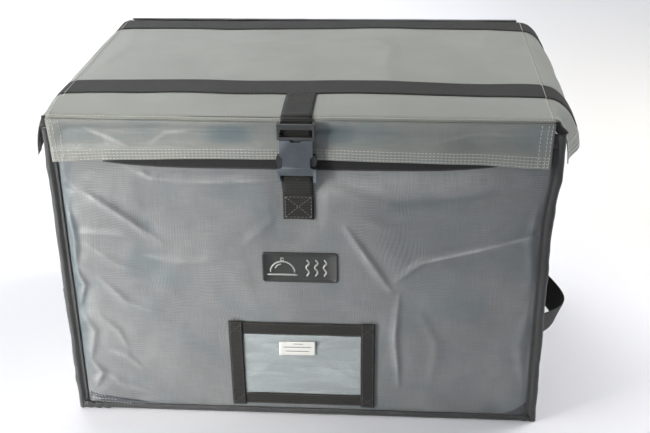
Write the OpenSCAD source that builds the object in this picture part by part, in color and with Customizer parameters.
// Soft-sided insulated food carrier, top loading, for full-size food pans.
// Row frame: +Z up, front face towards -Y, origin at the centre of the base on the floor. Millimetres.

/* [Carrier body] */
// Width of the body over the side panels
body_w = 600; // [560:1:640]
// Depth of the body over the front and back panels
body_d = 424; // [400:1:450]
// Height of the wall insulation and panels above the floor
wall_h = 404; // [380:1:440]
// Thickness of the insulation boards
foam_t = 25; // [20:0.5:30]
// Thickness of the outer fabric skin
skin_t = 1.2; // [0.8:0.1:1.3]
// Thickness of the wipe-clean inner liner
liner_t = 0.8; // [0.5:0.1:0.9]
// Visible width of the seam binding on the upright edges
binding_w = 14; // [12:0.5:16]

/* [Lid] */
// Thickness of the lid from its liner to its top fabric
lid_t = 24.1; // [22:0.1:30]
// Drop of the front flap below the lid's top
flap_drop = 56; // [50:1:60]
// How far the lower edge of a side flap stands out from the lid edge
flap_flare = 30; // [24:1:34]

/* [Webbing and buckle] */
// Width of the closure and handle webbing
web_w = 38; // [36:0.5:38]
// Width of the two cross straps on the lid
cross_w = 50; // [44:1:52]
// Thickness of the webbing
web_t = 1.4; // [1:0.1:1.5]
// Travel of the female buckle half down off the male half
buckle_travel = 42; // [38:1:44]

/* [Handles] */
// Distance from the middle of a handle to each sewn end
handle_half = 168; // [150:1:168]
// How far a handle loop reaches out from its pivot line
handle_reach = 60; // [52:1:64]
// Height of the middle of the handles' sewn ends above the floor
handle_z = 119; // [100:1:150]
// How far the handle loops droop below level, in degrees
handle_droop = 20; // [15:1:25]

/* [Pocket and emblem] */
// Width of the document pocket over its edge tapes
pocket_w = 191; // [170:1:200]
// Height of the document pocket over its side tapes
pocket_h = 134; // [120:1:140]
// Height of the pocket's lower edge above the floor
pocket_z = 16; // [14:1:20]
// Width of the emblem patch
emblem_w = 96; // [80:1:100]
// Height of the emblem patch
emblem_h = 42; // [36:1:46]

/* [Hidden] */
$fn = 48;

fabric = [0.55, 0.57, 0.57];
lid_fabric = [0.66, 0.67, 0.64];
black_web = [0.17, 0.17, 0.17];
black_tape = [0.10, 0.10, 0.10];
foam_col = [0.93, 0.93, 0.90];
liner_col = [0.78, 0.80, 0.82];
board_col = [0.85, 0.86, 0.84];
buckle_col = [0.24, 0.27, 0.30];

g = 0.2;                                  // assembly gap between sewn layers
hx = body_w / 2;                          // outer face of the side panels
hy = body_d / 2;                          // outer face of the front and back panels
fx = hx - skin_t - g;                     // outer face of the side insulation
fy = hy - skin_t - g;                     // outer face of the end insulation
ix = fx - foam_t - g;                     // outer face of the side liners
iy = fy - foam_t - g;                     // outer face of the end liners
wall_top = wall_h - 0.6;                  // top edge of the walls under the rim binding
rim_top = wall_h + 0.6;                   // top of the rim binding
board_z = skin_t + g;                     // underside of the base board
board_t = 3;
foam_z = board_z + board_t + g;           // underside of the insulation
floor_z = foam_z + foam_t + g;            // underside of the floor liner
leg = 1.1;                                // thickness of a folded binding leg
lid_z0 = rim_top + 0.3;                   // underside of the lid
lid_top = lid_z0 + lid_t;                 // top face of the lid fabric
front_y = -hy - 0.1;                      // back of everything sewn on the front panel
seam_y = -hy - 3;                         // hinge line of the front flap
seam_z = lid_top + 0.2;
side_x = hx + 4.5;                        // hinge line of the side flaps
side_z = lid_top + 0.1;
hinge_y = hy + 1.8;                       // hinge line of the lid
hinge_z = lid_top + 0.2;
flap_z = lid_top - flap_drop;             // lower edge of the front flap
strap_y = -hy + 70;                       // front edge of the front cross strap, measured back from the front
buckle_y = -hy - 12.75;                   // mid-plane of the buckle
mouth_z = lid_top - 24;                   // mouth of the female half
strap_turn_y = -hy - 5.9;                 // line where the closure strap turns down off the lid
strap_turn_z = lid_top + 0.9;

// direction helpers for bands of cloth that follow a list of points
function unit(v) = v / norm(v);
function left_of(v) = [-v[1], v[0]];
function heading(p, i) =
  i == 0 ? unit(p[1] - p[0]) :
  i == len(p) - 1 ? unit(p[i] - p[i - 1]) :
  unit(unit(p[i] - p[i - 1]) + unit(p[i + 1] - p[i]));
function band(p, a, b) = concat(
  [for (i = [0:len(p) - 1]) p[i] + left_of(heading(p, i)) * a],
  [for (i = [len(p) - 1:-1:0]) p[i] + left_of(heading(p, i)) * b]);

module block(x0, x1, y0, y1, z0, z1) translate([x0, y0, z0]) cube([x1 - x0, y1 - y0, z1 - z0]);
// a section drawn in (Y, Z) and run along X from x0 to x1
module along_x(x0, x1) translate([x0, 0, 0]) rotate([90, 0, 90]) linear_extrude(x1 - x0) children();
// a section drawn in (X, Z) and run along Y from y0 to y1
module along_y(y0, y1) translate([0, y1, 0]) rotate([90, 0, 0]) linear_extrude(y1 - y0) children();
// a flat bar with round ends
module stadium(x0, x1, y0, y1) {
  r = (y1 - y0) / 2;
  translate([x0 + r, y0]) square([x1 - x0 - 2 * r, y1 - y0]);
  translate([x0 + r, y0 + r]) circle(r);
  translate([x1 - r, y0 + r]) circle(r);
}
module round_plate(w, h, r) {
  square([w - 2 * r, h], center = true);
  square([w, h - 2 * r], center = true);
  for (x = [-1, 1], y = [-1, 1]) translate([x * (w / 2 - r), y * (h / 2 - r)]) circle(r);
}
module both_sides() { children(); mirror([1, 0, 0]) children(); }

// ---- outer shell
module shell_front_panel() color(fabric) block(-hx + 1.4, hx - 1.4, -hy, -hy + skin_t, board_z, wall_top);
module shell_back_panel() color(fabric) block(-hx + 1.4, hx - 1.4, hy - skin_t, hy, board_z, wall_top);
module side_panel() block(-hx, -hx + skin_t, -fy, fy, board_z, wall_top);
module shell_left_panel() color(fabric) side_panel();
module shell_right_panel() color(fabric) mirror([1, 0, 0]) side_panel();
module base_panel() color(black_tape) block(-hx, hx, -hy, hy, 0, skin_t);
module base_board() color(board_col) block(-fx, fx, -fy, fy, board_z, board_z + board_t);

// ---- insulation
module end_foam() block(-fx, fx, -fy, -fy + foam_t, foam_z, wall_top);
module side_foam() block(-fx, -fx + foam_t, -iy, iy, foam_z, wall_top);
module insulation_front() color(foam_col) end_foam();
module insulation_back() color(foam_col) mirror([0, 1, 0]) end_foam();
module insulation_left() color(foam_col) side_foam();
module insulation_right() color(foam_col) mirror([1, 0, 0]) side_foam();
module insulation_base() color(foam_col) block(-ix, ix, -iy, iy, foam_z, foam_z + foam_t);

// ---- inner liner
module end_liner() block(-ix + liner_t + 0.1, ix - liner_t - 0.1, -iy, -iy + liner_t, floor_z + liner_t + 0.1, wall_top);
module side_liner() block(-ix, -ix + liner_t, -iy, iy, floor_z + liner_t + 0.1, wall_top);
module liner_front() color(liner_col) end_liner();
module liner_back() color(liner_col) mirror([0, 1, 0]) end_liner();
module liner_left() color(liner_col) side_liner();
module liner_right() color(liner_col) mirror([1, 0, 0]) side_liner();
module liner_floor() color(liner_col) block(-ix, ix, -iy, iy, floor_z, floor_z + liner_t);

// ---- bindings
module rim_end() {
  in_y = -iy + liner_t + 0.1;
  block(-hx - 1.2, hx + 1.2, -hy - 0.1 - leg, in_y + 1, wall_top + g, rim_top);
  block(-hx + 4, hx - 4, -hy - 0.1 - leg, -hy - 0.1, wall_h - 10, rim_top);
  block(-ix + liner_t + 1.2, ix - liner_t - 1.2, in_y, in_y + 1, wall_h - 10, rim_top);
}
module rim_side() {
  in_x = -ix + liner_t + 0.1;
  in_y = iy - liner_t - 1.2;
  block(-hx - 0.1 - leg, in_x + 1, -in_y, in_y, wall_top + g, rim_top);
  block(-hx - 0.1 - leg, -hx - 0.1, -hy + 1, hy - 1, wall_h - 10, wall_top + 0.1);
  block(-hx - 0.1 - leg, -hx - 0.1, -in_y, in_y, wall_h - 10, rim_top);
  block(in_x, in_x + 1, -in_y, in_y, wall_h - 10, rim_top);
}
module rim_binding() color(black_tape) {
  rim_end();
  mirror([0, 1, 0]) rim_end();
  both_sides() rim_side();
}
module edge_binding() {
  both_sides() translate([0, 0, 0.3]) linear_extrude(wall_top - 0.3) stadium(hx - 3.5, hx - 3.5 + binding_w, -hy - 3, -hy - 0.1);
  along_x(-hx + 3.7, hx - 3.7) {
    translate([-hy - 2.8, 0.3]) square([2.7, 7.5]);
    translate([-hy - 1.45, 7.8]) circle(1.35);
  }
}
module edge_binding_front() color(black_tape) edge_binding();
module edge_binding_back() color(black_tape) mirror([0, 1, 0]) edge_binding();
module base_binding_sides() color(black_tape) both_sides() block(hx + 0.1, hx + 2.9, -hy + 1, hy - 1, 0.3, 9.3);
module corner_patch(run, rise) along_y(-hy - 0.9, front_y) polygon([[hx - 3.8, 9.5], [hx - 3.8, 9.5 + rise], [hx - 3.8 - run, 9.5]]);
module corner_patches() color(black_tape) {
  corner_patch(35, 20);
  mirror([1, 0, 0]) corner_patch(92, 17);
  mirror([0, 1, 0]) both_sides() corner_patch(35, 20);
}

// ---- things sewn on the body
module loop_tape_front() color(black_tape) block(-hx + 60, hx - 60, front_y - 1.5, front_y, flap_z - 8, flap_z + 20);
module loop_tape_side() block(-hx - 1.5, -hx - 0.1, -hy + 40, hy - 40, flap_z - 10, flap_z + 18);
module loop_tape_left() color(black_tape) loop_tape_side();
module loop_tape_right() color(black_tape) mirror([1, 0, 0]) loop_tape_side();
module emblem_patch() color([0.12, 0.13, 0.12]) translate([0, 0, 229]) along_y(front_y - 1.5, front_y) round_plate(emblem_w, emblem_h, 4);
module emblem_relief() color([0.60, 0.61, 0.60]) translate([0, 0, 229]) along_y(front_y - 2.1, front_y - 1.5) {
  translate([-emblem_w / 4, -7]) difference() { circle(15); circle(13); translate([-20, -40]) square([40, 40]); }
  translate([-emblem_w / 4 - 18, -11]) square([36, 2.4]);
  translate([-emblem_w / 4, 11.4]) circle(2.4);
  for (x = [4, 14, 24]) translate([x, -9]) square([4, 18]);
}
module pocket_window() color([0.72, 0.76, 0.78, 0.5]) block(-pocket_w / 2 + 6, pocket_w / 2 - 6, front_y - 0.8, front_y - 0.3, pocket_z + 7, pocket_z + pocket_h - 7);
module pocket_tape_rails() color(black_web) for (z = [pocket_z + 2, pocket_z + pocket_h - 20.5])
  block(-pocket_w / 2 + 18.2, pocket_w / 2 - 18.2, front_y - 2.5, front_y - 0.9, z, z + 18.5);
module pocket_tape_stiles() color(black_web) both_sides() block(pocket_w / 2 - 18, pocket_w / 2, front_y - 2.5, front_y - 0.9, pocket_z, pocket_z + pocket_h);
module pocket_label() color([0.93, 0.93, 0.92]) block(-30, 18, front_y - 1.2, front_y - 0.9, pocket_z + 83, pocket_z + 104.5);
module lower_strap_base() color(black_web) block(-web_w / 2, web_w / 2, front_y - 2 * web_t - 0.2, front_y, lid_top - 133, lid_top - 101);
module hinge_tape() color(black_tape) {
  block(-hx + 6, hx - 6, hy + 1.3, hy + 2.3, wall_h - 12, hinge_z);
  translate([-hx + 2, hinge_y, hinge_z]) rotate([0, 90, 0]) cylinder(r = 1.3, h = 2 * hx - 4);
}
// the sewn ends of a handle, flat on the side panel and then turning out into the loop
module handle_anchor() {
  e = handle_half;
  p = [[hx + 1.1, e + 37], [hx + 1.1, e + 9], [hx + 2.6, e + 5.4], [hx + 5, e + 3.6], [hx + 8.4, e + 3]];
  translate([0, 0, handle_z - web_w / 2]) linear_extrude(web_w) polygon(band(p, -0.9, 0.9));
}
module handle_anchors_right() color(black_web) { handle_anchor(); mirror([0, 1, 0]) handle_anchor(); }
module handle_anchors_left() color(black_web) mirror([1, 0, 0]) { handle_anchor(); mirror([0, 1, 0]) handle_anchor(); }

// ---- lid
module lid_top_panel() color(lid_fabric) block(-hx - 3.4, hx + 3.4, -hy - 1.8, hy - 0.6, lid_top - 1.6, lid_top);
module lid_board() color(board_col) block(-hx + 1.4, hx - 1.4, -hy + 3, hy - 3, lid_top - 4.6, lid_top - 1.8);
module lid_insulation() color(foam_col) block(-hx + 1.4, hx - 1.4, -hy + 3, hy - 3, lid_z0 + liner_t + 0.1, lid_top - 4.8);
module lid_liner() color(liner_col) block(-hx + 0.2, hx - 0.2, -hy + 1.6, hy - 1.6, lid_z0, lid_z0 + liner_t);
module lid_edge_band() color(black_tape) {
  z0 = lid_z0 + liner_t + 0.1;
  for (s = [0, 1]) mirror([0, s, 0]) block(-hx + 0.2, hx - 0.2, -hy + 1.6, -hy + 2.8, z0, lid_top - 1.8);
  both_sides() block(-hx + 0.1, -hx + 1.3, -hy + 2.9, hy - 2.9, z0, lid_top - 1.8);
}
module lid_seam_cords() color(lid_fabric) {
  translate([-hx - 2, seam_y, seam_z]) rotate([0, 90, 0]) cylinder(r = 1.1, h = 2 * hx + 4);
  both_sides() translate([side_x, -hy + 1, side_z]) rotate([-90, 0, 0]) cylinder(r = 1, h = 2 * hy - 8);
}
module cross_strap(y0) block(-hx - 3.3, hx + 3.3, y0, y0 + cross_w, lid_top + 0.1, lid_top + 0.1 + web_t);
module lid_strap_front() color(black_web) cross_strap(strap_y);
module lid_strap_rear() color(black_web) cross_strap(hy - 8 - cross_w);
module buckle_strap_anchor() color(black_web) block(-web_w / 2, web_w / 2, -hy - 1.6, strap_y - 0.3, lid_top + 0.1, lid_top + 0.1 + web_t);

// ---- flaps
// the flap and its tape are cut away behind the buckle's female half, where the cloth folds out of the way as the flap lifts
notch = 27;
module front_flap() color(lid_fabric) difference() {
  block(-hx - 3, hx + 3, -hy - 5.2, -hy - 3.6, flap_z, seam_z - 1.3);
  block(-notch, notch, -hy - 6, -hy - 3, flap_z - 1, mouth_z + 3);
}
module hook_tape_front() color(black_tape) both_sides() block(notch, hx - 62, -hy - 3.5, -hy - 1.9, flap_z + 2, flap_z + 27);
// curved section of a side flap, from the fold down to the hem
function side_arc(f, d) = [for (t = [0, 0.2, 0.4, 0.6, 0.8, 1])
  [side_x + 1.6 + f * sin(90 * pow(t, 0.8)), side_z - 0.6 - d * t * (0.55 + 0.45 * t)]];
flare_pts = side_arc(flap_flare, flap_drop - 3);
module side_flap() along_y(-hy + 1, hy - 7) polygon(band(flare_pts, -0.8, 0.8));
module side_hook() along_y(-hy + 42, hy - 42) polygon(band([flare_pts[3], flare_pts[4], flare_pts[5]], -2.4, -0.9));
module side_strap_ends() for (y = [strap_y, hy - 8 - cross_w]) along_y(y, y + cross_w) polygon(band(flare_pts, 0.9, 0.9 + web_t));
module right_flap() color(lid_fabric) side_flap();
module left_flap() color(lid_fabric) mirror([1, 0, 0]) side_flap();
module hook_tape_right() color(black_tape) side_hook();
module hook_tape_left() color(black_tape) mirror([1, 0, 0]) side_hook();
module right_strap_ends() color(black_web) side_strap_ends();
module left_strap_ends() color(black_web) mirror([1, 0, 0]) side_strap_ends();

// ---- closure strap and side-release buckle
module buckle_strap() color(black_web) along_x(-web_w / 2, web_w / 2) {
  y = buckle_y;
  translate([strap_turn_y, strap_turn_z]) circle(0.9);
  polygon(band([[strap_turn_y, strap_turn_z], [y + 1.5, lid_top - 7], [y + 1.2, lid_top - 10], [y + 1.2, lid_top - 20.6], [y + 2.6, lid_top - 22.4],
    [y + 5.1, lid_top - 22.4], [y + 6.2, lid_top - 20.6], [y + 6.2, lid_top - 11]], -web_t / 2, web_t / 2));
}
module buckle_male() color(buckle_col) {
  y = buckle_y;
  both_sides() block(web_w / 2 + 0.8, web_w / 2 + 3.5, y - 4.6, y + 5.6, mouth_z + 0.5, lid_top - 4);
  // ribbed bar in front of the webbing
  difference() {
    block(-web_w / 2 - 1, web_w / 2 + 1, y - 4.6, y - 0.2, lid_top - 10.5, lid_top - 4.5);
    for (i = [-5:5]) translate([i * 3.2 - 0.6, y - 5, lid_top - 11]) cube([1.2, 0.9, 7]);
  }
  // bar inside the webbing's turn
  translate([-web_w / 2 - 1, y + 3.7, lid_top - 18.6]) rotate([0, 90, 0]) cylinder(r = 1.3, h = web_w + 2);
  // shoulder that meets the mouth, below the webbing
  block(-web_w / 2 - 1, web_w / 2 + 1, y - 4.6, y - 0.4, mouth_z + 0.5, mouth_z + 4);
  block(-5, 5, y - 2.6, y + 0.1, mouth_z - 2, mouth_z + 2);
  // guide tongue, 3 mm clear of the mouth when the female half is right off
  block(-3, 3, y - 2.6, y + 2.4, mouth_z - buckle_travel + 3, mouth_z - 0.5);
  block(-web_w / 2 - 1, web_w / 2 + 1, y - 2.6, y - 0.4, mouth_z - 0.5, mouth_z + 1);
}
prong_r = 2.2;
prong_x = 16;
prong_z = mouth_z - 2.9;
// one sprung arm with its finger pad and its two small catch teeth, hinged by the thin root under the male half's shoulder
module prong() {
  y = buckle_y;
  along_y(y - 2.2, y + 2.2) {
    translate([prong_x, prong_z]) circle(prong_r);
    polygon([[prong_x - 1.8, prong_z], [prong_x + 1.8, prong_z], [prong_x + 1.8, prong_z - 16.2], [prong_x + 5, prong_z - 16.2],
      [prong_x + 7.6, prong_z - 18], [prong_x + 8.6, prong_z - 21], [prong_x + 8.6, prong_z - 26], [prong_x + 7.6, prong_z - 29.4],
      [prong_x + 5, prong_z - 32.2], [prong_x + 1, prong_z - 33], [prong_x - 2, prong_z - 31.6], [prong_x - 2.6, prong_z - 28], [prong_x - 1.8, prong_z - 24]]);
  }
  block(prong_x + 2.2, prong_x + 3.8, y - 2.8, y + 2.8, mouth_z - 21.5, mouth_z - 19.3);
}
module buckle_prong_right() color(buckle_col) prong();
module buckle_prong_left() color(buckle_col) mirror([1, 0, 0]) prong();
module female_outline() polygon([for (p = [[20, 0], [20, -19.5], [19, -21], [16.6, -23], [16.6, -33], [18, -35.5], [24, -37], [24, -45],
  [-24, -45], [-24, -37], [-18, -35.5], [-16.6, -33], [-16.6, -23], [-19, -21], [-20, -19.5], [-20, 0], [-7, 0], [-5.5, -2.4], [5.5, -2.4], [7, 0]]) [p[0], mouth_z + p[1]]]);
module buckle_female() color(buckle_col) {
  y = buckle_y;
  along_y(y - 5.2, y - 3) female_outline();
  along_y(y + 3, y + 5) female_outline();
  // webs between the guide and the prongs, and the ledges that the catch teeth hook under
  both_sides() {
    block(6, 8, y - 3.1, y + 3.1, mouth_z - 43, mouth_z - 1);
    block(17.9, 20, y - 3.1, y - 2.4, mouth_z - 19, mouth_z - 17);
    block(17.9, 20, y + 2.4, y + 3.1, mouth_z - 19, mouth_z - 17);
  }
  both_sides() block(20, 24, y - 5.2, y + 5, mouth_z - 54, mouth_z - 37);
  block(-22, 22, y - 4, y + 4, mouth_z - 44.9, mouth_z - 42);
  translate([-22, y + 1.5, mouth_z - 49.5]) rotate([0, 90, 0]) cylinder(r = 2, h = 44);
}
function arc_points(c, r, a0, a1, n) = [for (i = [0:n]) c + r * [cos(a0 + (a1 - a0) * i / n), sin(a0 + (a1 - a0) * i / n)]];
module lower_strap_loop() color(black_web) along_x(-web_w / 2, web_w / 2) {
  s = lid_top - 100.6;
  polygon(band(concat([[front_y - 2.3, s], [front_y - 2.3, s + 2]],
    arc_points([buckle_y + 1.5, mouth_z - 49.5], 2.9, 200, -20, 8),
    [[front_y - 0.8, s + 8], [front_y - 0.8, s]]), -web_t / 2, web_t / 2));
}

// ---- handles
// the loop turns about the upper edge of its webbing, so its width never reaches the side panel
module handle_loop() {
  pts = [for (t = [0:7.5:180]) [handle_reach * sin(t), handle_half * sign(cos(t)) * sqrt(abs(cos(t)))]];
  toe = (web_w * sin(handle_droop) - 4.2) / cos(handle_droop);
  translate([hx + 7, 0, handle_z + web_w / 2]) rotate([0, handle_droop, 0]) intersection() {
    translate([0, 0, -web_w]) linear_extrude(web_w + 2) polygon(band(pts, -1.2, 1.2));
    along_y(-handle_half - 5, handle_half + 5) {
      circle(2);
      polygon([[-0.5, 0], [-0.5, -5], [toe, -web_w], [toe + 90, -web_w], [toe + 90, 0]]);
    }
  }
}
module handle_right() color(black_web) handle_loop();
module handle_left() color(black_web) mirror([1, 0, 0]) handle_loop();

shell_front_panel();
shell_back_panel();
shell_left_panel();
shell_right_panel();
base_panel();
base_board();
insulation_front();
insulation_back();
insulation_left();
insulation_right();
insulation_base();
liner_front();
liner_back();
liner_left();
liner_right();
liner_floor();
rim_binding();
edge_binding_front();
edge_binding_back();
base_binding_sides();
corner_patches();
loop_tape_front();
loop_tape_left();
loop_tape_right();
emblem_patch();
emblem_relief();
pocket_window();
pocket_tape_rails();
pocket_tape_stiles();
pocket_label();
lower_strap_base();
hinge_tape();
handle_anchors_left();
handle_anchors_right();
lid_top_panel();
lid_board();
lid_insulation();
lid_liner();
lid_edge_band();
lid_seam_cords();
lid_strap_front();
lid_strap_rear();
buckle_strap_anchor();
front_flap();
hook_tape_front();
left_flap();
hook_tape_left();
left_strap_ends();
right_flap();
hook_tape_right();
right_strap_ends();
buckle_strap();
buckle_male();
buckle_prong_left();
buckle_prong_right();
buckle_female();
lower_strap_loop();
handle_left();
handle_right();
